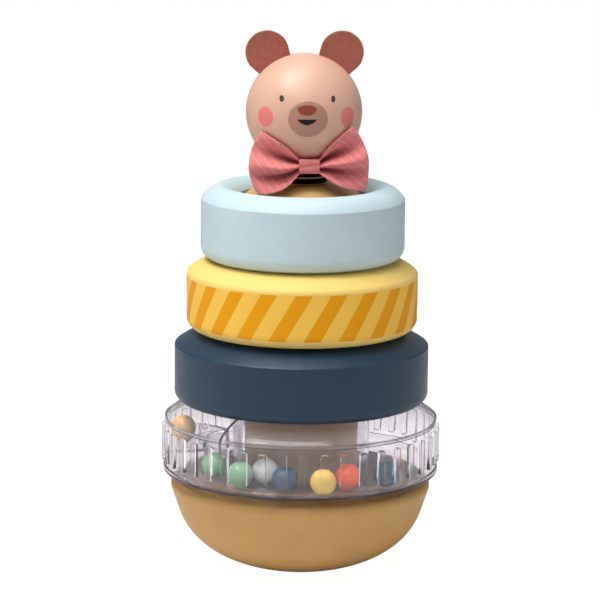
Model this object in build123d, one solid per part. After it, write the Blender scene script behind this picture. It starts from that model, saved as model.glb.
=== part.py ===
from build123d import *
import os
from math import cos, radians, sin

# Stacking ring toy. Millimetres, +Z up, -Y is the front, origin at the centre of the flat foot.

# Weighted base
BOWL_R = 59.2              # bowl body just under its lip
BOWL_TOP = 39.2            # height of the widest point of the lip
BOWL_POWER = 2.26          # fullness of the bowl: 2 is an ellipse, more is squarer
BOWL_END = 11.0            # the bowl's curve stops this far below the lip's centre
FOOT_R = 12.0
WALL = 2.4
LIP_R = 2.9
LIP_FROM = -16             # the lip's round begins here, in degrees; below it the wall runs straight into the bowl
LIP_OUT = 61.3
DECK_R = 55.8
DECK_LOW = 38.6            # dished edge of the deck
SEAT = 45.8                # top of the hub, where the first ring rests
HUB_R = 47.0
LEDGE = 36.0
LEDGE_WIDTH = 2.0

POST_R = 27.0
POST_FOOT = 39.6
POST_SIDE_TOP = 177.3
POST_TOP = 184.0
SOCKET_R = 9.0
SOCKET_FLOOR = 159.8

WELL_ORBIT = 20.0          # deck screws, in wells under the bowl
WELL_R = 3.9
WELL_TOP = 13.0
COLUMN_R = 4.0
POST_SCREW_ORBIT = 21.0
WEIGHT_IN = 26.5
WEIGHT_OUT = 42.0
WEIGHT_LOW = 12.0
WEIGHT_TOP = 23.0
WEIGHT_SCREW_ORBIT = 34.0
SCREW_R = 1.5
SCREW_HOLE_R = 1.7
SCREW_HEAD_R = 2.9
SCREW_HEAD = 2.0

# Rings
HOLE_R = 30.2
RING_WALL = 2.2
LAND = 1.0                 # flat crest on which the next ring rests
RINGS = {
    # r: outside radius, corner: lower corner radius, side_top: top of the upright side, crest: radius
    # of the highest circle, edge: rounding of the upper edge, bulge and swell: rise of the outer and
    # inner slopes over a straight line, hole_top: height of the hole's upper edge
    "navy": {"r": 59.7, "low": 80.5, "corner": 4.3, "side_top": 106.85, "crest": 45.0, "top": 114.2,
             "edge": 1.0, "bulge": 0.5, "hole_top": 110.9, "swell": 0.5},
    "yellow": {"r": 54.2, "low": 114.2, "corner": 5.8, "side_top": 141.3, "crest": 40.3, "top": 147.75,
               "edge": 2.0, "bulge": 1.0, "hole_top": 143.7, "swell": 0.8},
    "blue": {"r": 47.7, "low": 147.75, "corner": 6.0, "side_top": 175.8, "crest": 38.5, "top": 182.0,
             "edge": 1.0, "bulge": 1.15, "hole_top": 177.2, "swell": 1.0},
}

# Clear rattle ring
RATTLE_R = 64.2
RATTLE_FLANGE_R = 64.9
RATTLE_FLAT_R = 57.5       # the bottom is flat out to here, then slopes up to the flange
RATTLE_SLOPE = 0.5
RATTLE_RIM = 72.4
RATTLE_SEAM = 70.2
RATTLE_TOP = 80.5
RATTLE_CREST_R = 45.5
RATTLE_WALL = 2.0
RATTLE_FLOOR = 47.2        # top of the clear floor
TUBE_R = 30.4
RIBS = 43
RIB_WIDTH = 4.0
RIB_LOW = 51.8
RIB_HIGH = 68.1
RIB_PROUD = 1.5
RIB_START = 1.3            # degrees right of the front
PARTITION_AT = -36.0
PARTITION_IN = 44.5
PARTITION_LOW = 63.3
PARTITION_THICK = 1.4
SHELF_FROM = -128.0
SHELF_TO = -76.0
SHELF_TOP = 57.8
SHELF_THICK = 1.6

BEAD_R = 6.0
BEAD_GAP = 0.3             # beads stand this far off the plastic they rest on
BEADS = {
    # name: (degrees right of the front, radius of its centre, on the shelf)
    "bead_sand": (-91.0, 55.6, True),
    "bead_green_back": (-58.5, 46.5, False),
    "bead_green_front": (-33.0, 50.4, False),
    "bead_white": (-24.5, 38.8, False),
    "bead_navy": (-8.1, 50.5, False),
    "bead_yellow": (10.8, 55.8, False),
    "bead_orange": (26.4, 49.0, False),
    "bead_teal": (46.3, 54.5, False),
}

# Bear head
HEAD_R = 27.0
HEAD_Z = 216.5
HEAD_WALL = 2.4
HEAD_FLOOR = 195.8         # the head is solid below this height
HEAD_TURN = 3.5            # degrees that the face looks to the right
NECK_R = 10.6
NECK_LOW = 186.3
STEM_R = 8.2
STEM_DISC_R = 11.5         # disc on the stem, held between the head shells
STEM_GAP = 0.3
PLUG_R = 8.8
EAR_X = 17.3
EAR_Z = 244.0
EAR_R = 10.1
EAR_THICK = 1.2
BOW_X = 1.4
BOW_Z = 193.8
BOW_BACK = -15.5
BOW_FRONT = -21.0
KNOT_W = 9.1
KNOT_H = 6.9
KNOT_BACK = -18.7
KNOT_FRONT = -23.7
BAND_LOW = 187.2
BAND_TOP = 191.3
LEFT_LOOP = (
    (-4.6, 3.0), (-8.1, 6.8), (-11.6, 9.9), (-16.9, 13.2), (-22.0, 16.1),
    ((-27.8, 1.6), (-23.6, -13.5)), (-14.7, -11.4), (-9.9, -8.7), (-4.6, -3.2),
)
RIGHT_LOOP = (
    (4.6, 3.0), (7.9, 8.1), (11.4, 11.7), (15.4, 15.2), (20.0, 18.5),
    ((27.8, 2.8), (26.7, -11.6)), (16.3, -9.8), (7.9, -5.2), (4.6, -3.0),
)


def outline(*steps):
    """Flat face from (radius, height) steps; a pair of points is an arc's middle and end."""
    edges = []
    here = steps[0]
    for step in steps[1:] + (steps[0],):
        if isinstance(step[0], tuple):
            edges.append(ThreePointArc(here, step[0], step[1]))
            here = step[1]
        elif step != here:
            edges.append(Line(here, step))
            here = step
    return make_face(edges)


def profile(*steps):
    """The same outline, stood up in the XZ plane."""
    return Plane.XZ * outline(*steps)


def turned(*steps):
    """Solid of revolution about Z of a profile."""
    return revolve(profile(*steps), Axis.Z)


def tube(outer, inner, low, high):
    return turned((inner, low), (outer, low), (outer, high), (inner, high))


def disc(radius, low, high, x=0, y=0):
    return Pos(x, y, (low + high) / 2) * Cylinder(radius, high - low)


def ring_of(count, orbit, start, make):
    """Shapes made by make(x, y), evenly spaced on a circle."""
    shapes = []
    for index in range(count):
        angle = radians(start + 360 * index / count)
        shapes.append(make(orbit * cos(angle), orbit * sin(angle)))
    return shapes


def posts(count, orbit, start, radius, low, high):
    """Evenly spaced upright cylinders: bosses, columns or holes."""
    return ring_of(count, orbit, start, lambda x, y: disc(radius, low, high, x, y))


def front_angle(degrees, radius):
    """Point (x, y) at an angle from the front, positive to the right."""
    return radius * sin(radians(degrees)), -radius * cos(radians(degrees))


def save(name, shape):
    export_step(shape, f"parts/{name}.step")


def screws(count, orbit, start, head_low, tip):
    """Group of pan-head screws, driven down when the tip is below the head and up when it is above."""
    def one(x, y):
        head = disc(SCREW_HEAD_R, head_low, head_low + SCREW_HEAD, x, y)
        if tip < head_low:
            shank = disc(SCREW_R, tip, head_low, x, y)
            slot_at = head_low + SCREW_HEAD
        else:
            shank = disc(SCREW_R, head_low + SCREW_HEAD, tip, x, y)
            slot_at = head_low
        slot = Pos(x, y, slot_at) * Box(0.8, 3.6, 1.6)
        return (head + shank - slot).solids()[0]
    return Compound(children=ring_of(count, orbit, start, one))


# ---------------------------------------------------------------- weighted base

def bowl_points(radius, low, inner_r, count=9):
    """Superellipse from a flat of radius inner_r at height low up to just below the lip."""
    start = (inner_r / radius) ** BOWL_POWER
    depth = (BOWL_TOP - low) / (1 - start) ** (1 / BOWL_POWER)
    crowding = 1.7         # points stand closer together where the bowl curves most
    points = []
    for index in range(count):
        share = (index / (count - 1)) ** crowding
        height = low + (BOWL_TOP - BOWL_END - low) * share
        part = ((BOWL_TOP - height) / depth) ** BOWL_POWER
        points.append((radius * (1 - part) ** (1 / BOWL_POWER), height))
    return points


def lip_point(degrees):
    centre = LIP_OUT - LIP_R
    return centre + LIP_R * cos(radians(degrees)), BOWL_TOP + LIP_R * sin(radians(degrees))


def base_bowl():
    outer = bowl_points(BOWL_R, 0, FOOT_R)
    inner = bowl_points(BOWL_R - WALL, WALL, FOOT_R)
    lip_in = lip_point(150)
    ledge_in = lip_in[0] - LEDGE_WIDTH
    edges = [
        Line((0, 0), outer[0]),
        Spline(*outer),
        Line(outer[-1], lip_point(LIP_FROM)),
        ThreePointArc(lip_point(LIP_FROM), lip_point(70), lip_in),
        Line(lip_in, (lip_in[0], LEDGE)),
        Line((lip_in[0], LEDGE), (ledge_in, LEDGE)),
        Line((ledge_in, LEDGE), (ledge_in, LEDGE - 1.4)),
        Line((ledge_in, LEDGE - 1.4), inner[-1]),
        Spline(*reversed(inner)),
        Line(inner[0], (0, WALL)),
        Line((0, WALL), (0, 0)),
    ]
    bowl = revolve(Plane.XZ * make_face(edges), Axis.Z)
    filled = revolve(Plane.XZ * make_face([
        Line((0, 0), outer[0]),
        Spline(*outer),
        Line(outer[-1], (outer[-1][0], LEDGE)),
        Line((outer[-1][0], LEDGE), (0, LEDGE)),
        Line((0, LEDGE), (0, 0)),
    ]), Axis.Z)
    for well in posts(4, WELL_ORBIT, 45, WELL_R + 1.4, 0.5, WELL_TOP + WALL):
        bowl += well & filled
    for boss in posts(3, WEIGHT_SCREW_ORBIT, 90, 3.5, 4, WEIGHT_LOW):
        bowl += boss & filled
    for hollow in posts(4, WELL_ORBIT, 45, WELL_R, -1, WELL_TOP):
        bowl -= hollow
    for hole in posts(4, WELL_ORBIT, 45, SCREW_HOLE_R, WELL_TOP - 1, WELL_TOP + WALL + 1):
        bowl -= hole
    for pilot in posts(3, WEIGHT_SCREW_ORBIT, 90, SCREW_R, WEIGHT_LOW - 4.5, WEIGHT_LOW + 1):
        bowl -= pilot
    return bowl


def base_deck():
    under_hub = SEAT - 4
    deck = turned(
        (0, POST_FOOT - WALL), (POST_R + 4, POST_FOOT - WALL), (POST_R + 4, under_hub), (HUB_R - WALL, under_hub),
        (HUB_R + 1.6, LEDGE), (DECK_R, LEDGE), (DECK_R, DECK_LOW - 0.6),
        ((DECK_R - 2, DECK_LOW - 0.2), (DECK_R - 4, DECK_LOW)), (HUB_R + 4.5, DECK_LOW + 0.6),
        ((HUB_R + 2.0, DECK_LOW + 2.2), (HUB_R + 1.2, SEAT - 1.2)), ((HUB_R + 0.85, SEAT - 0.35), (HUB_R, SEAT)),
        (POST_R + 0.05, SEAT), (POST_R + 0.05, POST_FOOT), (0, POST_FOOT),
    )
    for column in posts(4, WELL_ORBIT, 45, COLUMN_R, WELL_TOP + WALL, POST_FOOT - 1):
        deck += column
    for pilot in posts(4, WELL_ORBIT, 45, SCREW_R, WELL_TOP, WELL_TOP + 15):
        deck -= pilot
    for hole in posts(4, POST_SCREW_ORBIT, 0, SCREW_HOLE_R, POST_FOOT - WALL - 1, POST_FOOT + 1):
        deck -= hole
    return deck


def center_post():
    inside = POST_R - WALL
    tube_r = SOCKET_R + 2.0
    boss_top = POST_FOOT + 18
    post = turned(
        (inside, POST_FOOT), (POST_R, POST_FOOT), (POST_R, POST_SIDE_TOP),
        ((POST_R - 7.1, POST_SIDE_TOP + 4.95), (NECK_R + 0.8, POST_TOP)), (SOCKET_R, POST_TOP),
        (SOCKET_R, SOCKET_FLOOR + 2), (0, SOCKET_FLOOR + 2), (0, SOCKET_FLOOR), (tube_r, SOCKET_FLOOR),
        (tube_r, POST_TOP - 2.6), ((POST_R - 7.6, POST_SIDE_TOP + 1.5), (inside, POST_SIDE_TOP - 2.0)),
    )
    for boss in posts(4, POST_SCREW_ORBIT, 0, 4.2, POST_FOOT, boss_top):
        post += boss & disc(POST_R - 1, POST_FOOT, boss_top)
    for pilot in posts(4, POST_SCREW_ORBIT, 0, SCREW_R, POST_FOOT - 1, POST_FOOT + 11):
        post -= pilot
    return post


def counterweight():
    slope = 4.0
    weight = turned(
        (WEIGHT_IN, WEIGHT_LOW), (WEIGHT_OUT - slope, WEIGHT_LOW), (WEIGHT_OUT, WEIGHT_LOW + slope),
        (WEIGHT_OUT, WEIGHT_TOP - 1), (WEIGHT_OUT - 1, WEIGHT_TOP), (WEIGHT_IN, WEIGHT_TOP),
    )
    for hole in posts(3, WEIGHT_SCREW_ORBIT, 90, SCREW_HOLE_R, WEIGHT_LOW - 1, WEIGHT_TOP + 1):
        weight -= hole
    return weight


# ---------------------------------------------------------------- rings

def split_ring(body, seam, outer_r, tube_outer, tube_top):
    """Cut a hollow ring into its top shell and its bottom cover, which carries the inner tube."""
    low_side = tube(outer_r + 2, 1, 0, seam) + tube(tube_outer, 1, seam - 1, tube_top)
    cover = body & low_side
    shell = body - low_side
    return shell, cover


def ring_steps(size, inset):
    """Outline of a solid-coloured ring, or of its cavity when inset is the wall thickness."""
    r = size["r"] - inset
    hole = HOLE_R + inset
    low = size["low"] + inset
    top = size["top"] - inset
    crest_in = size["crest"] - LAND / 2
    crest_out = size["crest"] + LAND / 2
    corner = size["corner"] - inset
    side_top = size["side_top"] - inset * 0.8
    bend = corner * (1 - cos(radians(45)))
    outer_mid = ((r + crest_out) / 2 + size["bulge"] * 0.35, (side_top + top) / 2 + size["bulge"])
    hole_top = size["hole_top"] - inset * 0.9
    inner_mid = ((hole + crest_in) / 2 - size["swell"] * 0.3, (hole_top + top) / 2 + size["swell"])
    return (
        (hole, low), (r - corner, low), ((r - bend, low + bend), (r, low + corner)), (r, side_top),
        (outer_mid, (crest_out, top)), (crest_in, top), (inner_mid, (hole, hole_top)),
    )


def solid_ring(size):
    face = outline(*ring_steps(size, 0))
    edge = face.vertices().sort_by_distance(Vertex(size["r"], size["side_top"], 0))[0]
    outside = revolve(Plane.XZ * fillet(edge, size["edge"]), Axis.Z)
    body = outside - turned(*ring_steps(size, RING_WALL))
    seam = size["low"] + size["corner"]
    shell, cover = split_ring(body, seam, size["r"], HOLE_R + RING_WALL, size["hole_top"] - 4)
    lip = tube(size["r"] - RING_WALL, size["r"] - RING_WALL - 1.4, seam - 1.5, seam + 3)
    return shell, cover + lip


# ---------------------------------------------------------------- clear rattle ring

def lid_steps(inset):
    """Upper part of the rattle ring's outline, from its rim over the crest to the inner tube."""
    r = RATTLE_R - inset
    rim = RATTLE_RIM - inset * 0.9
    top = RATTLE_TOP - inset
    crest_out = RATTLE_CREST_R + LAND / 2
    crest_in = RATTLE_CREST_R - LAND / 2
    middle = ((r + crest_out) / 2 + 0.5, (rim + top) / 2 + 1.25)
    return (r, rim), (middle, (crest_out, top)), (crest_in, top), ((38, top - 0.5), (TUBE_R + inset, top - 2.2))


def rattle_outside():
    flange = SEAT + RATTLE_SLOPE
    return turned(
        (TUBE_R, SEAT), (RATTLE_FLAT_R, SEAT), (RATTLE_R - 0.9, flange), (RATTLE_FLANGE_R - 0.2, flange + 0.5),
        (RATTLE_FLANGE_R, flange + 1.0), (RATTLE_FLANGE_R, flange + 3.0), (RATTLE_R, flange + 3.6), *lid_steps(0),
    )


def rattle_inside(inset):
    return turned(
        (TUBE_R + inset, RATTLE_FLOOR), (RATTLE_FLAT_R - 0.2, RATTLE_FLOOR),
        (RATTLE_R - inset, RATTLE_FLOOR + RATTLE_SLOPE - 0.2), *lid_steps(inset),
    )


def rattle_ring():
    outside = rattle_outside()
    body = outside - rattle_inside(RATTLE_WALL)
    shell, tray = split_ring(body, RATTLE_SEAM, RATTLE_R, TUBE_R + RATTLE_WALL, RATTLE_TOP - 5)
    rib = extrude(Plane.XZ * RectangleRounded(RIB_WIDTH, RIB_HIGH - RIB_LOW, 1.3), RIB_PROUD + 1)
    rib = fillet(rib.faces().sort_by(Axis.Y)[0].edges(), 0.7)
    rib = Pos(0, -RATTLE_R + 1, (RIB_LOW + RIB_HIGH) / 2) * rib
    for index in range(RIBS):
        tray += Rot(0, 0, RIB_START + index * 360 / RIBS) * rib
    tray += shelf() & outside
    lid = shell + (partition() & rattle_inside(RATTLE_WALL * 0.7))
    return tray, lid


def partition():
    """Radial fin under the lid that the beads knock against."""
    fin = Pos((PARTITION_IN + RATTLE_R) / 2, 0, (PARTITION_LOW + RATTLE_TOP) / 2) * Box(
        RATTLE_R - PARTITION_IN, PARTITION_THICK, RATTLE_TOP - PARTITION_LOW)
    reach = RATTLE_R - RATTLE_WALL - 0.1
    return Rot(0, 0, PARTITION_AT - 90) * fin & tube(reach, PARTITION_IN, PARTITION_LOW, RATTLE_TOP)


def shelf():
    """Raised step in the channel: a bent plate on two radial walls."""
    outer = RATTLE_R - RATTLE_WALL + 0.2
    inner = PARTITION_IN
    foot = RATTLE_FLOOR - 0.5
    sweep = SHELF_TO - SHELF_FROM
    under = SHELF_TOP - SHELF_THICK
    plate = revolve(profile((inner, under), (outer, under), (outer, SHELF_TOP), (inner, SHELF_TOP)), Axis.Z, sweep)
    curtain = revolve(profile((inner, foot), (inner + SHELF_THICK, foot), (inner + SHELF_THICK, SHELF_TOP),
                              (inner, SHELF_TOP)), Axis.Z, sweep)
    wall = Pos((inner + outer) / 2, SHELF_THICK / 2, (foot + SHELF_TOP) / 2) * Box(
        outer - inner, SHELF_THICK, SHELF_TOP - foot)
    step = plate + curtain + wall + Rot(0, 0, sweep) * Pos(0, -SHELF_THICK, 0) * wall
    return Rot(0, 0, SHELF_FROM - 90) * step


def bead(at, orbit, on_shelf):
    rest = SHELF_TOP if on_shelf else RATTLE_FLOOR
    x, y = front_angle(at, orbit)
    return Pos(x, y, rest + BEAD_GAP + BEAD_R) * Sphere(BEAD_R)


# ---------------------------------------------------------------- bear head

def neck_stem():
    plug_low = SOCKET_FLOOR + 3
    collar = NECK_R + 0.4
    disc_low = HEAD_FLOOR + STEM_GAP
    disc_top = disc_low + 2
    return turned(
        (0, plug_low), (PLUG_R - 1, plug_low), (PLUG_R, plug_low + 2), (PLUG_R, POST_TOP), (collar, POST_TOP),
        (collar, NECK_LOW - STEM_GAP), (STEM_R, NECK_LOW - STEM_GAP), (STEM_R, disc_low), (STEM_DISC_R, disc_low),
        (STEM_DISC_R, disc_top), (0, disc_top),
    )


def ear(side):
    """Flat ear, a round leaf on a tab that the two head shells clamp."""
    leaf = Pos(side * EAR_X, EAR_Z - HEAD_Z) * Circle(EAR_R)
    reach = Vector(side * EAR_X, EAR_Z - HEAD_Z).normalized()
    across = Vector(-reach.Y, reach.X)
    widths = ((30.5, 9.9), (25.6, 8.4), (20.0, 4.5))
    left = [reach * along + across * half for along, half in widths]
    right = [reach * along - across * half for along, half in reversed(widths)]
    tab = make_face(Polyline(*left, *right, close=True))
    flat = Plane.XZ * (leaf + tab)
    return Pos(0, EAR_THICK / 2, HEAD_Z) * extrude(flat, EAR_THICK)


def head_shells(ears):
    bore = STEM_R + STEM_GAP
    ball = Pos(0, 0, HEAD_Z) * Sphere(HEAD_R)
    ball += tube(NECK_R, bore, NECK_LOW, HEAD_FLOOR - 1)
    ball -= Pos(0, 0, HEAD_Z) * Sphere(HEAD_R - HEAD_WALL) - disc(HEAD_R, NECK_LOW, HEAD_FLOOR)
    ball -= disc(bore, NECK_LOW - 1, HEAD_FLOOR + 1)
    for item in ears:
        ball -= item
    half = 3 * HEAD_R
    front = ball & Pos(0, -half / 2, HEAD_Z) * Box(half, half, half)
    back = ball & Pos(0, half / 2, HEAD_Z) * Box(half, half, half)
    return front, back


def bow_loop(steps):
    """Plain closed wedge of one loop, kept clear of the head behind it."""
    loop = Pos(BOW_X, BOW_BACK, BOW_Z) * extrude(profile(*steps), BOW_BACK - BOW_FRONT)
    return loop - Pos(0, 0, HEAD_Z) * Sphere(HEAD_R + 0.3)


def bow_knot():
    depth = KNOT_BACK - KNOT_FRONT
    knot = Pos(BOW_X, (KNOT_BACK + KNOT_FRONT) / 2, BOW_Z) * Box(KNOT_W, depth, KNOT_H)
    knot = fillet(knot.faces().sort_by(Axis.Y)[0].edges(), 1.6)
    return knot - Pos(0, 0, HEAD_Z) * Sphere(HEAD_R + 0.1)


def neck_band():
    """Elastic band round the neck, with the tongue that the knot is sewn to."""
    band_out = NECK_R + 1.3
    tongue = profile(
        (band_out - 0.6, BAND_LOW + 0.8), (band_out - 0.6, BAND_LOW + 3.2), (15.2, BAND_LOW + 5.6),
        (-KNOT_BACK, BAND_LOW + 8.2), (-KNOT_BACK, BAND_LOW + 5.4), (15.9, BAND_LOW + 3.2),
    )
    return tube(band_out, NECK_R, BAND_LOW, BAND_TOP) + Rot(0, 0, -90) * extrude(tongue, 3, both=True)


# ---------------------------------------------------------------- files

os.makedirs("parts", exist_ok=True)

save("base_bowl", base_bowl())
save("base_deck", base_deck())
save("center_post", center_post())
save("counterweight", counterweight())
save("deck_screws", screws(4, WELL_ORBIT, 45, WELL_TOP - SCREW_HEAD, WELL_TOP + 13))
save("post_screws", screws(4, POST_SCREW_ORBIT, 0, POST_FOOT - WALL - SCREW_HEAD, POST_FOOT + 9))
save("weight_screws", screws(3, WEIGHT_SCREW_ORBIT, 90, WEIGHT_TOP, WEIGHT_LOW - 4))

tray_part, lid_part = rattle_ring()
save("rattle_tray", tray_part)
save("rattle_lid", lid_part)
for bead_name, place in BEADS.items():
    save(bead_name, bead(*place))

for ring_name, ring_size in RINGS.items():
    ring_shell, ring_cover = solid_ring(ring_size)
    save(f"{ring_name}_ring_shell", ring_shell)
    save(f"{ring_name}_ring_cover", ring_cover)

save("neck_stem", neck_stem())
turn = Rot(0, 0, HEAD_TURN)
ear_parts = {"ear_left": ear(-1), "ear_right": ear(1)}
front_part, back_part = head_shells(ear_parts.values())
save("head_front_shell", turn * front_part)
save("head_back_shell", turn * back_part)
for ear_name, ear_part in ear_parts.items():
    save(ear_name, turn * ear_part)
save("bow_loop_left", turn * bow_loop(LEFT_LOOP))
save("bow_loop_right", turn * bow_loop(RIGHT_LOOP))
save("bow_knot", turn * bow_knot())
save("neck_band", turn * neck_band())
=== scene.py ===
"""Looks of the stacking ring toy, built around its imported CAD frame. Metres, +Z up, -Y is the front."""

import math

import bmesh
import bpy
from mathutils import Matrix, Vector, noise


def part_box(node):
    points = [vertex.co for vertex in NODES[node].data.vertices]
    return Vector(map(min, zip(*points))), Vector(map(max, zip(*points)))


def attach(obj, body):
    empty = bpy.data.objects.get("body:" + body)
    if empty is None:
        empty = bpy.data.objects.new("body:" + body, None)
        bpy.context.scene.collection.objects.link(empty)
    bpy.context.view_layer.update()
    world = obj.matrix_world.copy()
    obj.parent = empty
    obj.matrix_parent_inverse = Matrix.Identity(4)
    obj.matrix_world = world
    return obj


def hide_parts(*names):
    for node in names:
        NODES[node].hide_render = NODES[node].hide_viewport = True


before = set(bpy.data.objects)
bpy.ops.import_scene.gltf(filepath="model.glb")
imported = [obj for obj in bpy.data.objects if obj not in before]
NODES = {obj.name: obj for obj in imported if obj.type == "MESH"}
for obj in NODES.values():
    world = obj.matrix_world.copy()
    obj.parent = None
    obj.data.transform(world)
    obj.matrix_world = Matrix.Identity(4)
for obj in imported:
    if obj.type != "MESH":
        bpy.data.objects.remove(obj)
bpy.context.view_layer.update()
MM = 0.001

# ---------------------------------------------------------------- places read from the frame

HEAD_LOW, HEAD_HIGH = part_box("head_front_shell")
HEAD_R = (HEAD_HIGH.x - HEAD_LOW.x) / 2
HEAD_CENTER = Vector(((HEAD_LOW.x + HEAD_HIGH.x) / 2, 0, HEAD_HIGH.z - HEAD_R))
KNOT_LOW, KNOT_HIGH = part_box("bow_knot")
KNOT = (KNOT_LOW + KNOT_HIGH) / 2
YELLOW_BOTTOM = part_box("yellow_ring_cover")[0].z
YELLOW_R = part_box("yellow_ring_shell")[1].x
HEAD_TURN = math.radians(3.5)  # the face looks a little to the right
HEAD_Z = HEAD_CENTER.z / MM
BOW_X = 1.4                    # the bow hangs this far right of the middle
BOW_Z = KNOT.z / MM
RATTLE_WALL_R = 64.2 * MM      # clear ring's wall; ribs and flange stand proud of it
RATTLE_FLANGE_TOP = 49.6 * MM


# ---------------------------------------------------------------- material helpers

def linear(red, green, blue):
    """Linear colour from 0-255 display values."""
    channels = []
    for value in (red, green, blue):
        share = value / 255
        channels.append(share / 12.92 if share <= 0.04045 else ((share + 0.055) / 1.055) ** 2.4)
    return (*channels, 1.0)


class Shader:
    """A node material with short calls for the nodes used here."""

    def __init__(self, name):
        self.material = bpy.data.materials.new(name)
        self.material.use_nodes = True
        self.tree = self.material.node_tree
        self.bsdf = self.tree.nodes["Principled BSDF"]
        self.coords = self.node("ShaderNodeTexCoord").outputs["Object"]

    def node(self, kind, **settings):
        node = self.tree.nodes.new(kind)
        for key, value in settings.items():
            setattr(node, key, value)
        return node

    def feed(self, socket, value):
        if isinstance(value, bpy.types.NodeSocket):
            self.tree.links.new(value, socket)
        else:
            socket.default_value = value

    def set(self, **values):
        for key, value in values.items():
            self.feed(self.bsdf.inputs[key.replace("_", " ")], value)

    def math(self, operation, first, second=0.0, clamp=False):
        node = self.node("ShaderNodeMath", operation=operation, use_clamp=clamp)
        for socket, value in zip(node.inputs, (first, second)):
            self.feed(socket, value)
        return node.outputs[0]

    def noise(self, size, detail=4.0, roughness=0.55, distortion=0.0):
        """Noise whose features are about size metres across."""
        node = self.node("ShaderNodeTexNoise")
        self.feed(node.inputs["Vector"], self.coords)
        node.inputs["Scale"].default_value = 1 / size
        node.inputs["Detail"].default_value = detail
        node.inputs["Roughness"].default_value = roughness
        node.inputs["Distortion"].default_value = distortion
        return node.outputs["Fac"]

    def remap(self, value, low, high, to_low=0.0, to_high=1.0, smooth=False):
        node = self.node("ShaderNodeMapRange", clamp=True)
        node.interpolation_type = "SMOOTHSTEP" if smooth else "LINEAR"
        for socket, item in zip(node.inputs, (value, low, high, to_low, to_high)):
            self.feed(socket, item)
        return node.outputs[0]

    def mix(self, share, first, second):
        node = self.node("ShaderNodeMix", data_type="RGBA")
        self.feed(node.inputs[0], share)
        self.feed(node.inputs[6], first)
        self.feed(node.inputs[7], second)
        return node.outputs[2]

    def split(self, vector=None):
        node = self.node("ShaderNodeSeparateXYZ")
        self.feed(node.inputs[0], vector or self.coords)
        return node.outputs

    def radius(self, x, y):
        """Distance from the toy's upright axis."""
        squares = [self.math("MULTIPLY", side, side) for side in (x, y)]
        return self.math("SQRT", self.math("ADD", *squares))

    def turned(self, angle, center):
        """Object coordinates moved to center and turned about Z."""
        shift = self.node("ShaderNodeVectorMath", operation="SUBTRACT")
        self.feed(shift.inputs[0], self.coords)
        shift.inputs[1].default_value = center
        turn = self.node("ShaderNodeMapping", vector_type="POINT")
        self.feed(turn.inputs["Vector"], shift.outputs[0])
        turn.inputs["Rotation"].default_value = (0, 0, angle)
        return turn.outputs[0]

    def bump(self, height, distance, strength=1.0, below=None):
        node = self.node("ShaderNodeBump")
        node.inputs["Strength"].default_value = strength
        node.inputs["Distance"].default_value = distance
        self.feed(node.inputs["Height"], height)
        if below is not None:
            self.feed(node.inputs["Normal"], below)
        return node.outputs[0]


def scaled(color, factor):
    """A colour made lighter or darker."""
    return tuple(min(1.0, channel * factor) for channel in color[:3]) + (1.0,)


def moulded(name, color, roughness, grain=0.35 * MM, grain_depth=0.02 * MM, shade=0.06, specular=0.5, coat=0.0):
    """Moulded plastic: fine spark-eroded grain, faint cloudiness, rubbed patches that are a little glossier."""
    shader = Shader(name)
    cloud = shader.noise(18 * MM, 3.0)
    fine = shader.noise(grain, 5.0, 0.65)
    tone = shader.mix(shader.remap(cloud, 0.3, 0.7), scaled(color, 1 - shade), scaled(color, 1 + shade))
    specks = shader.remap(fine, 0.50, 0.78, 0.0, 0.5)
    tone = shader.mix(specks, tone, scaled(color, 1 - shade * 1.2))
    rub = shader.remap(shader.noise(9 * MM, 6.0, 0.6), 0.3, 0.7, roughness - 0.05, roughness + 0.05)
    shader.set(Base_Color=tone, Roughness=rub, Specular_IOR_Level=specular)
    if coat:
        shader.set(Coat_Weight=coat, Coat_Roughness=0.15)
    shader.set(Normal=shader.bump(fine, grain_depth, 0.6))
    return shader


def dress(material, *nodes):
    """Give CAD nodes a material."""
    for node in nodes:
        slots = NODES[node].data.materials
        slots.clear()
        slots.append(material)


# ---------------------------------------------------------------- solid plastics

TAN = linear(193, 150, 90)
NAVY = linear(16, 46, 70)
YELLOW = linear(238, 202, 118)
YELLOW_BAND = linear(238, 190, 78)
ORANGE_STRIPE = linear(226, 152, 1)
BLUE = linear(186, 206, 212)
SKIN = linear(208, 164, 140)


def yellow_print(shader, body):
    """Slanting stripes printed round the side of the yellow ring, and the paler ground between them."""
    stripes = 21
    period = 360 / stripes
    low = YELLOW_BOTTOM + 3.8 * MM
    high = YELLOW_BOTTOM + 25.3 * MM
    lean = 13.5            # degrees that a stripe climbs round the ring on its way up
    first = 1.15           # degrees right of the front
    half_stripe = 0.239    # of one period
    soft = 0.004
    x, y, z = shader.split()
    angle = shader.math("DEGREES", shader.math("ARCTAN2", x, shader.math("MULTIPLY", y, -1.0)))
    rise = shader.math("MULTIPLY", shader.math("SUBTRACT", z, high), lean / (high - low))
    along = shader.math("DIVIDE", shader.math("SUBTRACT", angle, shader.math("ADD", rise, first)), period)
    share = shader.math("ABSOLUTE", shader.math("SUBTRACT", shader.math("FRACT", shader.math(
        "ADD", along, 50.5)), 0.5))
    stripe = shader.remap(share, half_stripe - soft, half_stripe + soft, 1.0, 0.0)
    side = shader.math("GREATER_THAN", shader.radius(x, y), YELLOW_R - 1.2 * MM)
    edge = 0.12 * MM
    band = shader.math("MULTIPLY", shader.remap(z, low, low + edge), shader.remap(z, high, high + edge, 1.0, 0.0))
    band = shader.math("MULTIPLY", band, side)
    ground = shader.mix(band, body, YELLOW_BAND)
    return shader.mix(shader.math("MULTIPLY", band, stripe), ground, ORANGE_STRIPE)


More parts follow.
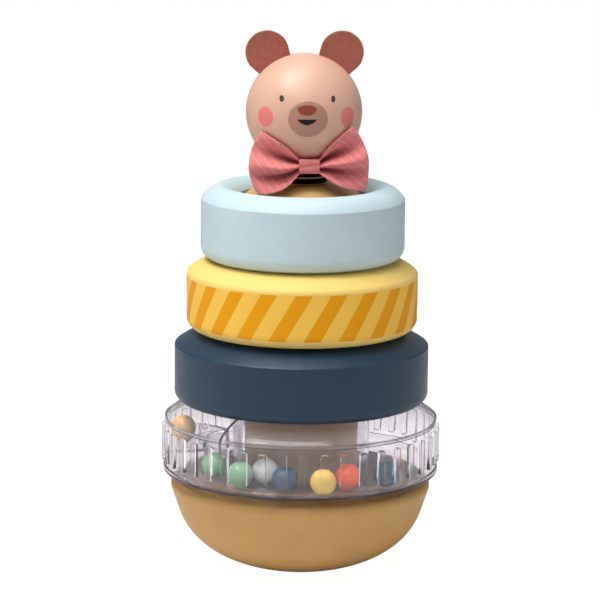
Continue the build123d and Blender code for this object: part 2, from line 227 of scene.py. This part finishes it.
def oval(shader, across, up, x, z, half_width, half_up, half_down=None, soft=0.12 * MM, power=2.0):
    """Mask of a printed oval, in metres from the head's centre; its lower half may have its own depth."""
    dx = shader.math("DIVIDE", shader.math("SUBTRACT", across, x), half_width)
    rise = shader.math("SUBTRACT", up, z)
    dz = shader.math("DIVIDE", rise, half_up)
    if half_down is not None:
        lower = shader.math("LESS_THAN", rise, 0.0)
        low_dz = shader.math("DIVIDE", rise, half_down)
        dz = shader.math("ADD", shader.math("MULTIPLY", lower, low_dz), shader.math(
            "MULTIPLY", shader.math("SUBTRACT", 1.0, lower), dz))
    total = shader.math("ADD", shader.math("POWER", shader.math("ABSOLUTE", dx), power), shader.math(
        "POWER", shader.math("ABSOLUTE", dz), power))
    distance = shader.math("POWER", total, 1 / power)
    blur = soft / min(half_width, half_up, half_down or half_up)
    return shader.remap(distance, 1 - blur, 1 + blur, 1.0, 0.0)


def face_print(shader, body):
    """Printed face: cheeks, muzzle, nose, mouth and eyes, in the head's own turned frame."""
    across, depth, up = shader.split(shader.turned(-HEAD_TURN, HEAD_CENTER))
    front = shader.math("LESS_THAN", depth, 0.0)
    tone = body
    cheek = linear(218, 104, 98)
    for side in (-1, 1):
        mask = oval(shader, across, up, (side * 18.75) * MM, -0.15 * MM, 3.25 * MM, 4.65 * MM)
        tone = shader.mix(shader.math("MULTIPLY", mask, 0.86), tone, cheek)
    muzzle = oval(shader, across, up, 0.3 * MM, -0.35 * MM, 9.05 * MM, 8.2 * MM)
    tone = shader.mix(muzzle, tone, linear(170, 124, 102))
    nose = oval(shader, across, up, -0.25 * MM, 4.45 * MM, 4.45 * MM, 1.7 * MM, 3.05 * MM)
    tone = shader.mix(nose, tone, linear(132, 62, 44))
    mouth = oval(shader, across, up, -0.2 * MM, -0.33 * MM, 4.45 * MM, 2.7 * MM, power=1.5)
    mouth = shader.math("MULTIPLY", mouth, shader.remap(up, -0.38 * MM, -0.28 * MM, 1.0, 0.0))
    tone = shader.mix(mouth, tone, linear(4, 3, 5))
    ink = mouth
    for x, z in ((-11.65, 8.72), (11.9, 8.6)):
        rim = oval(shader, across, up, x * MM, z * MM, 1.0 * MM, 1.48 * MM, soft=0.08 * MM)
        tone = shader.mix(rim, tone, linear(30, 18, 15))
        ink = shader.math("MAXIMUM", ink, rim)
        # A lighter spot in the middle of each printed eye.
        eye_centre = oval(shader, across, up, (x + 0.1) * MM, (z - 0.1) * MM, 0.5 * MM, 0.85 * MM, soft=0.3 * MM)
        tone = shader.mix(shader.math("MULTIPLY", eye_centre, 0.7), tone, linear(92, 76, 70))
    rubbed = shader.bsdf.inputs["Roughness"].links[0].from_socket
    matt = shader.math("MULTIPLY", shader.math("MULTIPLY", ink, front), 0.5)
    shader.set(Roughness=shader.math("ADD", rubbed, matt, clamp=True))
    return shader.mix(front, body, tone)


def base_color_source(shader):
    return shader.bsdf.inputs["Base Color"].links[0].from_socket


def dress_plastics():
    tan = moulded("tan_plastic", TAN, 0.52, grain_depth=0.03 * MM, specular=0.3)
    dress(tan.material, "base_bowl", "base_deck")
    post = moulded("post_plastic", linear(204, 164, 100), 0.45, specular=0.3)
    dress(post.material, "center_post")
    navy = moulded("navy_plastic", NAVY, 0.42, grain=0.25 * MM, grain_depth=0.012 * MM, specular=0.4)
    dress(navy.material, "navy_ring_shell", "navy_ring_cover")
    yellow = moulded("yellow_plastic", YELLOW, 0.52, shade=0.035, specular=0.15)
    yellow.set(Base_Color=yellow_print(yellow, base_color_source(yellow)))
    dress(yellow.material, "yellow_ring_shell", "yellow_ring_cover")
    blue = moulded("blue_plastic", BLUE, 0.5, shade=0.03, grain=0.45 * MM, grain_depth=0.035 * MM, specular=0.35)
    dress(blue.material, "blue_ring_shell", "blue_ring_cover")
    # Painted shade: the neck stem is near-black to stand in for the shade in the gap under the head and bow.
    stem = moulded("stem_plastic_painted_shade", linear(20, 11, 10), 0.9, specular=0.05)
    dress(stem.material, "neck_stem")
    back = moulded("head_paint", SKIN, 0.4, grain=0.2 * MM, grain_depth=0.008 * MM, shade=0.02, specular=0.42)
    dress(back.material, "head_back_shell")
    face = moulded("head_face", SKIN, 0.4, grain=0.2 * MM, grain_depth=0.008 * MM, shade=0.02, specular=0.42)
    face.set(Base_Color=face_print(face, base_color_source(face)))
    dress(face.material, "head_front_shell")


# ---------------------------------------------------------------- clear plastic, beads and metal

def dress_clear():
    """Faintly lilac clear plastic; its ribs and flange are a little rougher, and the flange is deeper in colour."""
    shader = Shader("clear_plastic")
    swirl = shader.noise(14 * MM, 3.0, distortion=0.6)
    tint = shader.mix(shader.remap(swirl, 0.3, 0.7), (0.92, 0.885, 0.92, 1), (0.95, 0.925, 0.95, 1))
    x, y, z = shader.split()
    rim = shader.remap(shader.radius(x, y), RATTLE_WALL_R + 0.05 * MM, RATTLE_WALL_R + 0.3 * MM)
    low = shader.remap(z, RATTLE_FLANGE_TOP - 1 * MM, RATTLE_FLANGE_TOP, 1.0, 0.0)
    flange = shader.math("MULTIPLY", rim, low)
    tint = shader.mix(flange, tint, (0.66, 0.56, 0.64, 1))
    scuff = shader.remap(shader.noise(3 * MM, 6.0, 0.7), 0.55, 0.8, 0.02, 0.09)
    scuff = shader.math("ADD", scuff, shader.math("MULTIPLY", rim, 0.16))
    shader.set(Base_Color=tint, Roughness=scuff, IOR=1.3, Transmission_Weight=0.96)
    shader.set(Normal=shader.bump(swirl, 0.05 * MM, 0.35))
    dress(shader.material, "rattle_tray", "rattle_lid")
    NODES["rattle_lid"].visible_shadow = False


BEADS = {
    "bead_sand": linear(216, 168, 84), "bead_green_back": linear(112, 174, 128),
    "bead_green_front": linear(126, 182, 136), "bead_white": linear(226, 230, 226),
    "bead_navy": linear(6, 66, 98), "bead_yellow": linear(255, 210, 92),
    "bead_orange": linear(255, 98, 42), "bead_teal": linear(6, 84, 106),
}


def dress_beads():
    for node, color in BEADS.items():
        shader = moulded(f"{node}_gloss", color, 0.3, grain=0.5 * MM, grain_depth=0.01 * MM, shade=0.05,
                         coat=0.3)
        dress(shader.material, node)


def metal(name, color, roughness, grain):
    shader = Shader(name)
    lines = shader.noise(grain, 6.0, 0.6)
    tone = shader.mix(lines, scaled(color, 0.8), scaled(color, 1))
    shader.set(Base_Color=tone, Metallic=1.0, Roughness=shader.remap(lines, 0.3, 0.7, roughness, roughness + 0.15))
    shader.set(Normal=shader.bump(lines, 0.05 * MM, 0.5))
    return shader.material


def dress_metal():
    dress(metal("zinc_steel", (0.66, 0.66, 0.68), 0.28, 0.6 * MM), "deck_screws", "post_screws", "weight_screws")
    dress(metal("cast_iron", (0.17, 0.17, 0.18), 0.6, 1.2 * MM), "counterweight")


# ---------------------------------------------------------------- fabric materials

def felt(name, color, dark):
    """Brushed felt: short fibres, soft sheen, blotches of nap."""
    shader = Shader(name)
    nap = shader.noise(2.2 * MM, 6.0, 0.7)
    fibre = shader.noise(0.28 * MM, 5.0, 0.7, distortion=1.5)
    tone = shader.mix(shader.remap(nap, 0.3, 0.7), color, dark)
    tone = shader.mix(shader.remap(fibre, 0.45, 0.75, 0.0, 0.55), tone, dark)
    shader.set(Base_Color=tone, Roughness=0.92, Specular_IOR_Level=0.15, Sheen_Weight=0.25, Sheen_Roughness=0.5)
    shader.set(Normal=shader.bump(fibre, 0.06 * MM, 0.8, shader.bump(nap, 0.12 * MM, 0.5)))
    return shader.material


def weave_height(shader, x, z, pitch):
    """Plain weave: two crossed sets of threads."""
    warp = shader.math("SINE", shader.math("MULTIPLY", x, 2 * math.pi / pitch))
    weft = shader.math("SINE", shader.math("MULTIPLY", z, 2 * math.pi / pitch))
    return shader.math("MULTIPLY", warp, weft)


def bow_cloth(name, stripe_angle):
    """Coral cotton with thin paler pinstripes that run down to the right at stripe_angle; None is plain.

    The mesh's fold value darkens the colour at the bottoms of the folds: painted shade in the creases.
    """
    shader = Shader(name)
    x, _, z = shader.split()
    weave = weave_height(shader, x, z, 0.55 * MM)
    slub = shader.noise(1.1 * MM, 5.0, 0.65)
    base = linear(226, 136, 132)
    tone = shader.mix(shader.remap(slub, 0.3, 0.75), base, linear(208, 115, 113))
    # Painted shade: the weave's low points are darker, as shade between the threads.
    tone = shader.mix(shader.remap(weave, -1.0, 1.0, 0.22, 0.0), tone, linear(180, 86, 86))
    if stripe_angle is not None:
        spacing = 3.1 * MM
        a = math.radians(stripe_angle)
        across = shader.math("ADD", shader.math("MULTIPLY", x, math.sin(a)), shader.math(
            "MULTIPLY", z, math.cos(a)))
        wander = shader.math("MULTIPLY", shader.noise(6 * MM, 1.0), 0.6 * MM)
        cycle = shader.math("FRACT", shader.math("ADD", shader.math("DIVIDE", shader.math(
            "ADD", across, wander), spacing), 50.0))
        near = shader.math("ABSOLUTE", shader.math("SUBTRACT", cycle, 0.5))
        line = shader.remap(near, 0.04, 0.11, 0.28, 0.0)
        line = shader.math("MULTIPLY", line, shader.remap(shader.noise(0.7 * MM, 4.0), 0.3, 0.6, 0.45, 1.0))
        tone = shader.mix(line, tone, linear(252, 196, 190))
        # Painted shade: the mesh's fold value darkens the cloth to a deep red in the bottoms of the folds.
        fold = shader.node("ShaderNodeAttribute", attribute_name="fold").outputs["Fac"]
        tone = shader.mix(shader.remap(fold, 0.0, 1.0, 0.0, 0.85, smooth=True), tone, linear(128, 44, 50))
    shader.set(Base_Color=tone, Roughness=0.88, Specular_IOR_Level=0.2, Sheen_Weight=0.2, Sheen_Roughness=0.45)
    shader.set(Normal=shader.bump(weave, 0.05 * MM, 0.7, shader.bump(slub, 0.08 * MM, 0.5)))
    return shader.material


# ---------------------------------------------------------------- soft pieces

def turn_with_head(point):
    """Point given in the head's own frame, turned with the head."""
    return Matrix.Rotation(HEAD_TURN, 3, "Z") @ Vector(point)


def spline(points, share):
    """Catmull-Rom point at share (0 to 1) along a list of points."""
    spans = len(points) - 1
    place = min(share * spans, spans - 1e-9)
    index = int(place)
    t = place - index
    p1, p2 = Vector(points[index]), Vector(points[index + 1])
    p0 = Vector(points[index - 1]) if index else p1 * 2 - p2
    p3 = Vector(points[index + 2]) if index + 2 <= spans else p2 * 2 - p1
    return 0.5 * (2 * p1 + (p2 - p0) * t + (2 * p0 - 5 * p1 + 4 * p2 - p3) * t * t
                  + (3 * p1 - p0 - 3 * p2 + p3) * t ** 3)


def smooth_object(name, mesh):
    """A smooth-shaded object in the scene from a finished bmesh."""
    data = bpy.data.meshes.new(name)
    mesh.to_mesh(data)
    mesh.free()
    data.polygons.foreach_set("use_smooth", [True] * len(data.polygons))
    piece = bpy.data.objects.new(name, data)
    bpy.context.scene.collection.objects.link(piece)
    return piece


def sheet_mesh(name, columns, rows, front, back):
    """Closed mesh between two grids of points given by front(u, v) and back(u, v)."""
    mesh = bmesh.new()
    grids = []
    for surface in (front, back):
        grids.append([[mesh.verts.new(surface(i / columns, j / rows)) for j in range(rows + 1)]
                      for i in range(columns + 1)])
    near, far = grids
    for i in range(columns):
        for j in range(rows):
            mesh.faces.new((near[i][j], near[i + 1][j], near[i + 1][j + 1], near[i][j + 1]))
            mesh.faces.new((far[i][j], far[i][j + 1], far[i + 1][j + 1], far[i + 1][j]))
    border = [(i, 0) for i in range(columns)] + [(columns, j) for j in range(rows)]
    border += [(i, rows) for i in range(columns, 0, -1)] + [(0, j) for j in range(rows, 0, -1)]
    for (a, b), (c, d) in zip(border, border[1:] + border[:1]):
        mesh.faces.new((near[c][d], near[a][b], far[a][b], far[c][d]))
    bmesh.ops.recalc_face_normals(mesh, faces=mesh.faces)
    return smooth_object(name, mesh)


HEAD_CLEARANCE = 27.35     # cloth stays this far from the head's centre, in millimetres
KNOT_DEPTH = -20.6         # where the loops meet the knot, in millimetres
FOLD_SHADE_FADE = 0.9            # the painted shade in the folds is gone this share of the way out
LOOP_GRID = (44, 48)

# Each loop's edges, in millimetres right of and above the knot's middle, from the knot outwards. Valleys are the
# heights, from 0 to 1, of the bottoms of its two folds; stripes is the pinstripes' angle in degrees.
LOOPS = {
    "left": {
        "top": ((-4.2, 2.9), (-8.1, 6.8), (-11.6, 9.9), (-16.9, 13.2), (-22.0, 16.1)),
        "bottom": ((-4.2, -2.9), (-9.9, -8.7), (-14.7, -11.4), (-20.0, -12.9), (-23.6, -13.5)),
        "side": ((-23.6, -13.5), (-26.6, -7.0), (-27.8, -0.3), (-26.2, 8.2), (-22.0, 16.1)),
        "valleys": (0.745, 0.335),
        "stripes": 50,
    },
    "right": {
        "top": ((4.2, 2.9), (7.9, 8.1), (11.4, 11.7), (15.4, 15.2), (20.0, 18.5)),
        "bottom": ((4.2, -2.9), (7.9, -5.2), (11.4, -7.6), (16.3, -9.8), (22.0, -11.2), (26.7, -11.6)),
        "side": ((26.7, -11.6), (27.7, -3.5), (27.4, 4.0), (24.4, 12.0), (20.0, 18.5)),
        "valleys": (0.68, 0.30),
        "stripes": 40,
    },
}


def loop_plane(edges, u, v):
    """Coons patch over a loop's four edges: u runs outwards from the knot, v from bottom to top."""
    top, bottom = spline(edges["top"], u), spline(edges["bottom"], u)
    outer = spline(edges["side"], v)
    inner = Vector(edges["bottom"][0]).lerp(Vector(edges["top"][0]), v)
    corners = (Vector(edges["bottom"][0]).lerp(Vector(edges["bottom"][-1]), u)).lerp(
        Vector(edges["top"][0]).lerp(Vector(edges["top"][-1]), u), v)
    return bottom.lerp(top, v) + inner.lerp(outer, u) - corners


def loop_piece(side):
    """One loop of the bow: a folded tube of cloth gathered at the knot, with creases fanning out of it."""
    edges = LOOPS[side]
    seed = Vector((3.1, 7.7, 1.3)) if side == "left" else Vector((9.2, 2.4, 5.5))

    def fold(v):
        """Zigzag of the cloth across the loop: -1 is a ridge, 1 is the bottom of a valley."""
        upper, lower = edges["valleys"]
        ridge = (upper + lower) / 2 + 0.01
        stops = ((0.0, -0.9), (lower, 0.8), (ridge, -1.0), (upper, 1.0), (1.0, -0.5))
        for (v0, y0), (v1, y1) in zip(stops, stops[1:]):
            if v <= v1:
                share = (v - v0) / (v1 - v0)
                return y0 + (y1 - y0) * (3 - 2 * share) * share * share
        return stops[-1][1]

    def depth(u, v):
        """Front surface, in millimetres: the folds are deepest a third of the way out and open to a smooth end."""
        wave = 0.6 * noise.noise(Vector((u * 2.6, v * 3.2, 0)) + seed)
        deep = 1.0 + 3.0 * math.sin(math.pi * min(1.0, 0.08 + u * 0.92)) ** 0.8 * (1 - 0.35 * u)
        forward = 1.9 * math.sin(math.pi * min(1.0, u)) ** 0.6
        return KNOT_DEPTH + 2.6 * u ** 1.6 - forward + deep * fold(v) - wave * u

    def thick(u, v):
        """Gap between the front and back cloth."""
        return 0.7 + 2.2 * math.sin(math.pi * v) ** 0.7 * math.sin(math.pi * (0.08 + 0.86 * u)) ** 0.6

    def place(x, y, z):
        middle = Vector((BOW_X + x, y, BOW_Z + z))
        reach = middle - Vector((0, 0, HEAD_Z))
        if reach.length < HEAD_CLEARANCE:
            middle.y = -math.sqrt(max(HEAD_CLEARANCE ** 2 - reach.x ** 2 - reach.z ** 2, 0))
        return turn_with_head(middle * MM)

    def front(u, v):
        x, z = loop_plane(edges, u, v)
        return place(x, depth(u, v) - 0.4, z)

    def back(u, v):
        x, z = loop_plane(edges, u, v)
        return place(x, min(depth(u, v) + thick(u, v), -13.0), z)

    columns, rows = LOOP_GRID
    piece = sheet_mesh(f"bow_{side}", columns, rows, front, back)
    # Painted shade: each point's fold value, how far down a valley it lies, fading out towards the loop's end; the
    # cloth darkens by it.
    fold_shade = piece.data.attributes.new("fold", "FLOAT", "POINT")
    for i in range(columns + 1):
        fade = max(0.0, 1 - (i / columns / FOLD_SHADE_FADE) ** 2)
        for j in range(rows + 1):
            fold_shade.data[i * (rows + 1) + j].value = max(0.0, fold(j / rows)) * fade
    piece.modifiers.new("Subdivision", "SUBSURF").render_levels = 1
    piece.data.materials.append(bow_cloth(f"bow_cloth_{side}", edges["stripes"]))
    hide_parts(f"bow_loop_{side}")
    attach(piece, "head")


def knot_piece():
    """The band wrapped round the middle of the bow: a soft barrel, a little waisted, with a tucked fold."""
    low, high = KNOT_LOW / MM, KNOT_HIGH / MM
    half = Vector((4.75, 2.6, 3.45))
    center = Vector((KNOT.x / MM, (low.y + high.y) / 2, KNOT.z / MM))
    mesh = bmesh.new()
    bmesh.ops.create_cube(mesh, size=2.0)
    bmesh.ops.subdivide_edges(mesh, edges=mesh.edges, cuts=15, use_grid_fill=True)
    for vert in mesh.verts:
        x, y, z = vert.co
        power = 5.0
        size = (abs(y) ** power + abs(z) ** power) ** (1 / power) or 1.0
        y, z = y / size * max(abs(y), abs(z)), z / size * max(abs(y), abs(z))
        end = 1 - 0.10 * abs(x) ** 4
        waist = 1 - 0.05 * math.cos(x * math.pi / 2)
        fold = 0.10 * math.exp(-((z - 0.25 * x - 0.1) / 0.22) ** 2) if y < 0 else 0.0
        weave = 0.03 * noise.noise(Vector((x * 2, y * 2, z * 2)))
        vert.co = Vector((x * half.x, (y * end * waist + fold) * half.y, z * end * waist * half.z * (1 + weave)))
        vert.co = (center + Matrix.Rotation(HEAD_TURN, 3, "Z") @ vert.co) * MM
    piece = smooth_object("bow_wrap", mesh)
    piece.data.materials.append(bow_cloth("bow_cloth_knot", None))
    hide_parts("bow_knot")
    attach(piece, "head")


EAR_R = 10.1
EAR_CENTER = (17.3, 244.0)


def ear_outline(side):
    """Outline of an ear about its centre, in millimetres: a disc with a tab that narrows into the head."""
    inward = Vector((-side * EAR_CENTER[0], HEAD_Z - EAR_CENTER[1])).normalized()
    across = Vector((-inward.y, inward.x))
    tab = ((2.0, 9.9), (4.4, 9.15), (6.9, 8.4), (8.6, 7.0))
    turns = 60
    from_tab = math.atan2(tab[0][1], tab[0][0])
    local = [(along, half) for along, half in tab[::-1]]
    for index in range(1, turns):
        angle = from_tab + (2 * math.pi - 2 * from_tab) * index / turns
        ragged = EAR_R + 0.09 * noise.noise(Vector((math.cos(angle) * 3, math.sin(angle) * 3, side * 4.0)))
        local.append((ragged * math.cos(angle), ragged * math.sin(angle)))
    local += [(along, -half) for along, half in tab]
    local += [(9.2, -3.5), (9.2, 0.0), (9.2, 3.5)]
    return [inward * along + across * half for along, half in local]


def ear_piece(side, name):
    """One felt ear: a cut disc with a slightly cupped face and a darker cut edge."""
    outline = ear_outline(side)
    count = len(outline)
    scales = (1.0, 0.985, 0.94, 0.8, 0.6, 0.4, 0.2)
    mesh = bmesh.new()
    layers = {}
    for face in (-1, 1):
        rings = []
        for order, scale in enumerate(scales):
            half = (0.36, 0.55, 0.6)[min(order, 2)]
            ring = []
            for point in outline:
                flat = point * scale
                lift = 0.006 * (flat.length ** 2) * max(0.0, flat.y + 2) / 10
                y = face * half - lift
                ring.append(mesh.verts.new((flat.x, y, flat.y)))
            rings.append(ring)
        middle = mesh.verts.new((0, face * 0.6, 0))
        layers[face] = (rings, middle)
    for face, (rings, middle) in layers.items():
        for outer, inner in zip(rings, rings[1:]):
            for i in range(count):
                j = (i + 1) % count
                mesh.faces.new((outer[i], outer[j], inner[j], inner[i]))
        for i in range(count):
            mesh.faces.new((rings[-1][i], rings[-1][(i + 1) % count], middle))
    for i in range(count):
        j = (i + 1) % count
        edge = mesh.faces.new((layers[-1][0][0][i], layers[-1][0][0][j], layers[1][0][0][j], layers[1][0][0][i]))
        edge.material_index = 1
    bmesh.ops.recalc_face_normals(mesh, faces=mesh.faces)
    for vert in mesh.verts:
        place = Vector((vert.co.x + side * EAR_CENTER[0], vert.co.y, vert.co.z + EAR_CENTER[1]))
        vert.co = turn_with_head(place * MM)
    piece = smooth_object(name, mesh)
    piece.data.materials.append(felt(f"{name}_felt", linear(174, 104, 88), linear(152, 86, 71)))
    piece.data.materials.append(felt(f"{name}_cut_edge", linear(116, 72, 62), linear(92, 56, 50)))
    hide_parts("ear_left" if side < 0 else "ear_right")
    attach(piece, "head")


def dress_band():
    shader = Shader("band_elastic")
    _, _, z = shader.split()
    ridges = shader.math("SINE", shader.math("MULTIPLY", z, 2 * math.pi / (0.7 * MM)))
    # Painted shade: the elastic band is near-black to stand in for the shade in the gap under the head and bow; its
    # ridges are a little lighter.
    tone = shader.mix(shader.remap(ridges, -1, 1), linear(22, 12, 12), linear(34, 20, 19))
    shader.set(Base_Color=tone, Roughness=0.9, Specular_IOR_Level=0.05)
    shader.set(Normal=shader.bump(ridges, 0.08 * MM, 0.8))
    dress(shader.material, "neck_band")


# ---------------------------------------------------------------- stage, lights and camera

TOY_MIDDLE = Vector((0, 0, 0.14))


def plain_floor(name, size, depth, shade, glow):
    """A pale matt plane, depth metres below the toy's lowest point."""
    bpy.ops.mesh.primitive_plane_add(size=size, location=(0, 0, -depth))
    floor = bpy.context.object
    floor.name = name
    shader = Shader(name)
    cloud = shader.noise(0.5, 2.0)
    low, high = (shade - 0.01,) * 3 + (1,), (shade + 0.01,) * 3 + (1,)
    shader.set(Base_Color=shader.mix(cloud, low, high), Roughness=0.9, Specular_IOR_Level=0.1)
    shader.set(Emission_Color=(1, 1, 1, 1), Emission_Strength=glow)
    floor.data.materials.append(shader.material)
    return floor


def stage():
    """A bright white sweep, and a matt card that throws the studio's light back up under the toy."""
    sweep = plain_floor("studio_floor", 24, 0, 0.2, 0.97)
    sweep.visible_diffuse = False
    sweep.visible_glossy = False
    sweep.visible_shadow = False
    card = plain_floor("bounce_card", 12, 0.0005, 0.9, 0.0)
    card.visible_camera = False
    card.visible_transmission = False


def soft_light(name, place, size, watts):
    """An area light that looks at the middle of the toy."""
    light = bpy.data.lights.new(name, "AREA")
    light.shape = "RECTANGLE"
    light.size, light.size_y = size
    light.energy = watts
    lamp = bpy.data.objects.new(name, light)
    lamp.location = place
    lamp.rotation_euler = (TOY_MIDDLE - Vector(place)).to_track_quat("-Z", "Y").to_euler()
    bpy.context.scene.collection.objects.link(lamp)


def lights():
    """Six soft lights, and a white surround that is dimmer in reflections and lights nothing."""
    world = bpy.data.worlds.new("studio")
    world.use_nodes = True
    nodes, links = world.node_tree.nodes, world.node_tree.links
    nodes["Background"].inputs[0].default_value = (1, 1, 1, 1)
    seen, reflected = 1.05, 0.4
    glow = nodes.new("ShaderNodeMath")
    glow.operation = "MULTIPLY_ADD"
    links.new(nodes.new("ShaderNodeLightPath").outputs["Is Glossy Ray"], glow.inputs[0])
    glow.inputs[1].default_value = reflected - seen
    glow.inputs[2].default_value = seen
    links.new(glow.outputs[0], nodes["Background"].inputs[1])
    bpy.context.scene.world = world
    world.cycles_visibility.diffuse = False
    soft_light("top", (-0.15, -0.1, 1.3), (0.8, 0.8), 10)
    soft_light("key", (-0.5, -0.32, 1.25), (0.5, 0.5), 9.4)
    soft_light("front", (-0.2, -0.95, 1.25), (0.7, 0.7), 6.4)
    soft_light("right", (0.9, -0.5, 1.0), (0.6, 0.6), 1.4)
    soft_light("left_strip", (-1.3, -0.15, 0.4), (0.35, 0.7), 1.9)
    soft_light("right_strip", (1.3, -0.15, 0.4), (0.35, 0.7), 1.7)


def camera():
    distance = 1.408
    pitch = math.radians(11.0)
    roll = math.radians(0.6)
    aim = Vector((-0.00094, 0, 0.1273))
    data = bpy.data.cameras.new("camera")
    data.sensor_width = 36
    data.lens = 179.94
    data.clip_end = 50
    cam = bpy.data.objects.new("camera", data)
    cam.location = aim + Vector((0, -distance * math.cos(pitch), distance * math.sin(pitch)))
    looking = Matrix.Rotation(math.radians(90) - pitch, 4, "X")
    cam.rotation_euler = (looking @ Matrix.Rotation(roll, 4, "Z")).to_euler()
    bpy.context.scene.collection.objects.link(cam)
    bpy.context.scene.camera = cam


bpy.context.scene.view_settings.view_transform = "Standard"
camera()
lights()
stage()
dress_plastics()
dress_clear()
dress_beads()
dress_metal()
dress_band()
loop_piece("left")
loop_piece("right")
knot_piece()
ear_piece(-1, "felt_ear_left")
ear_piece(1, "felt_ear_right")
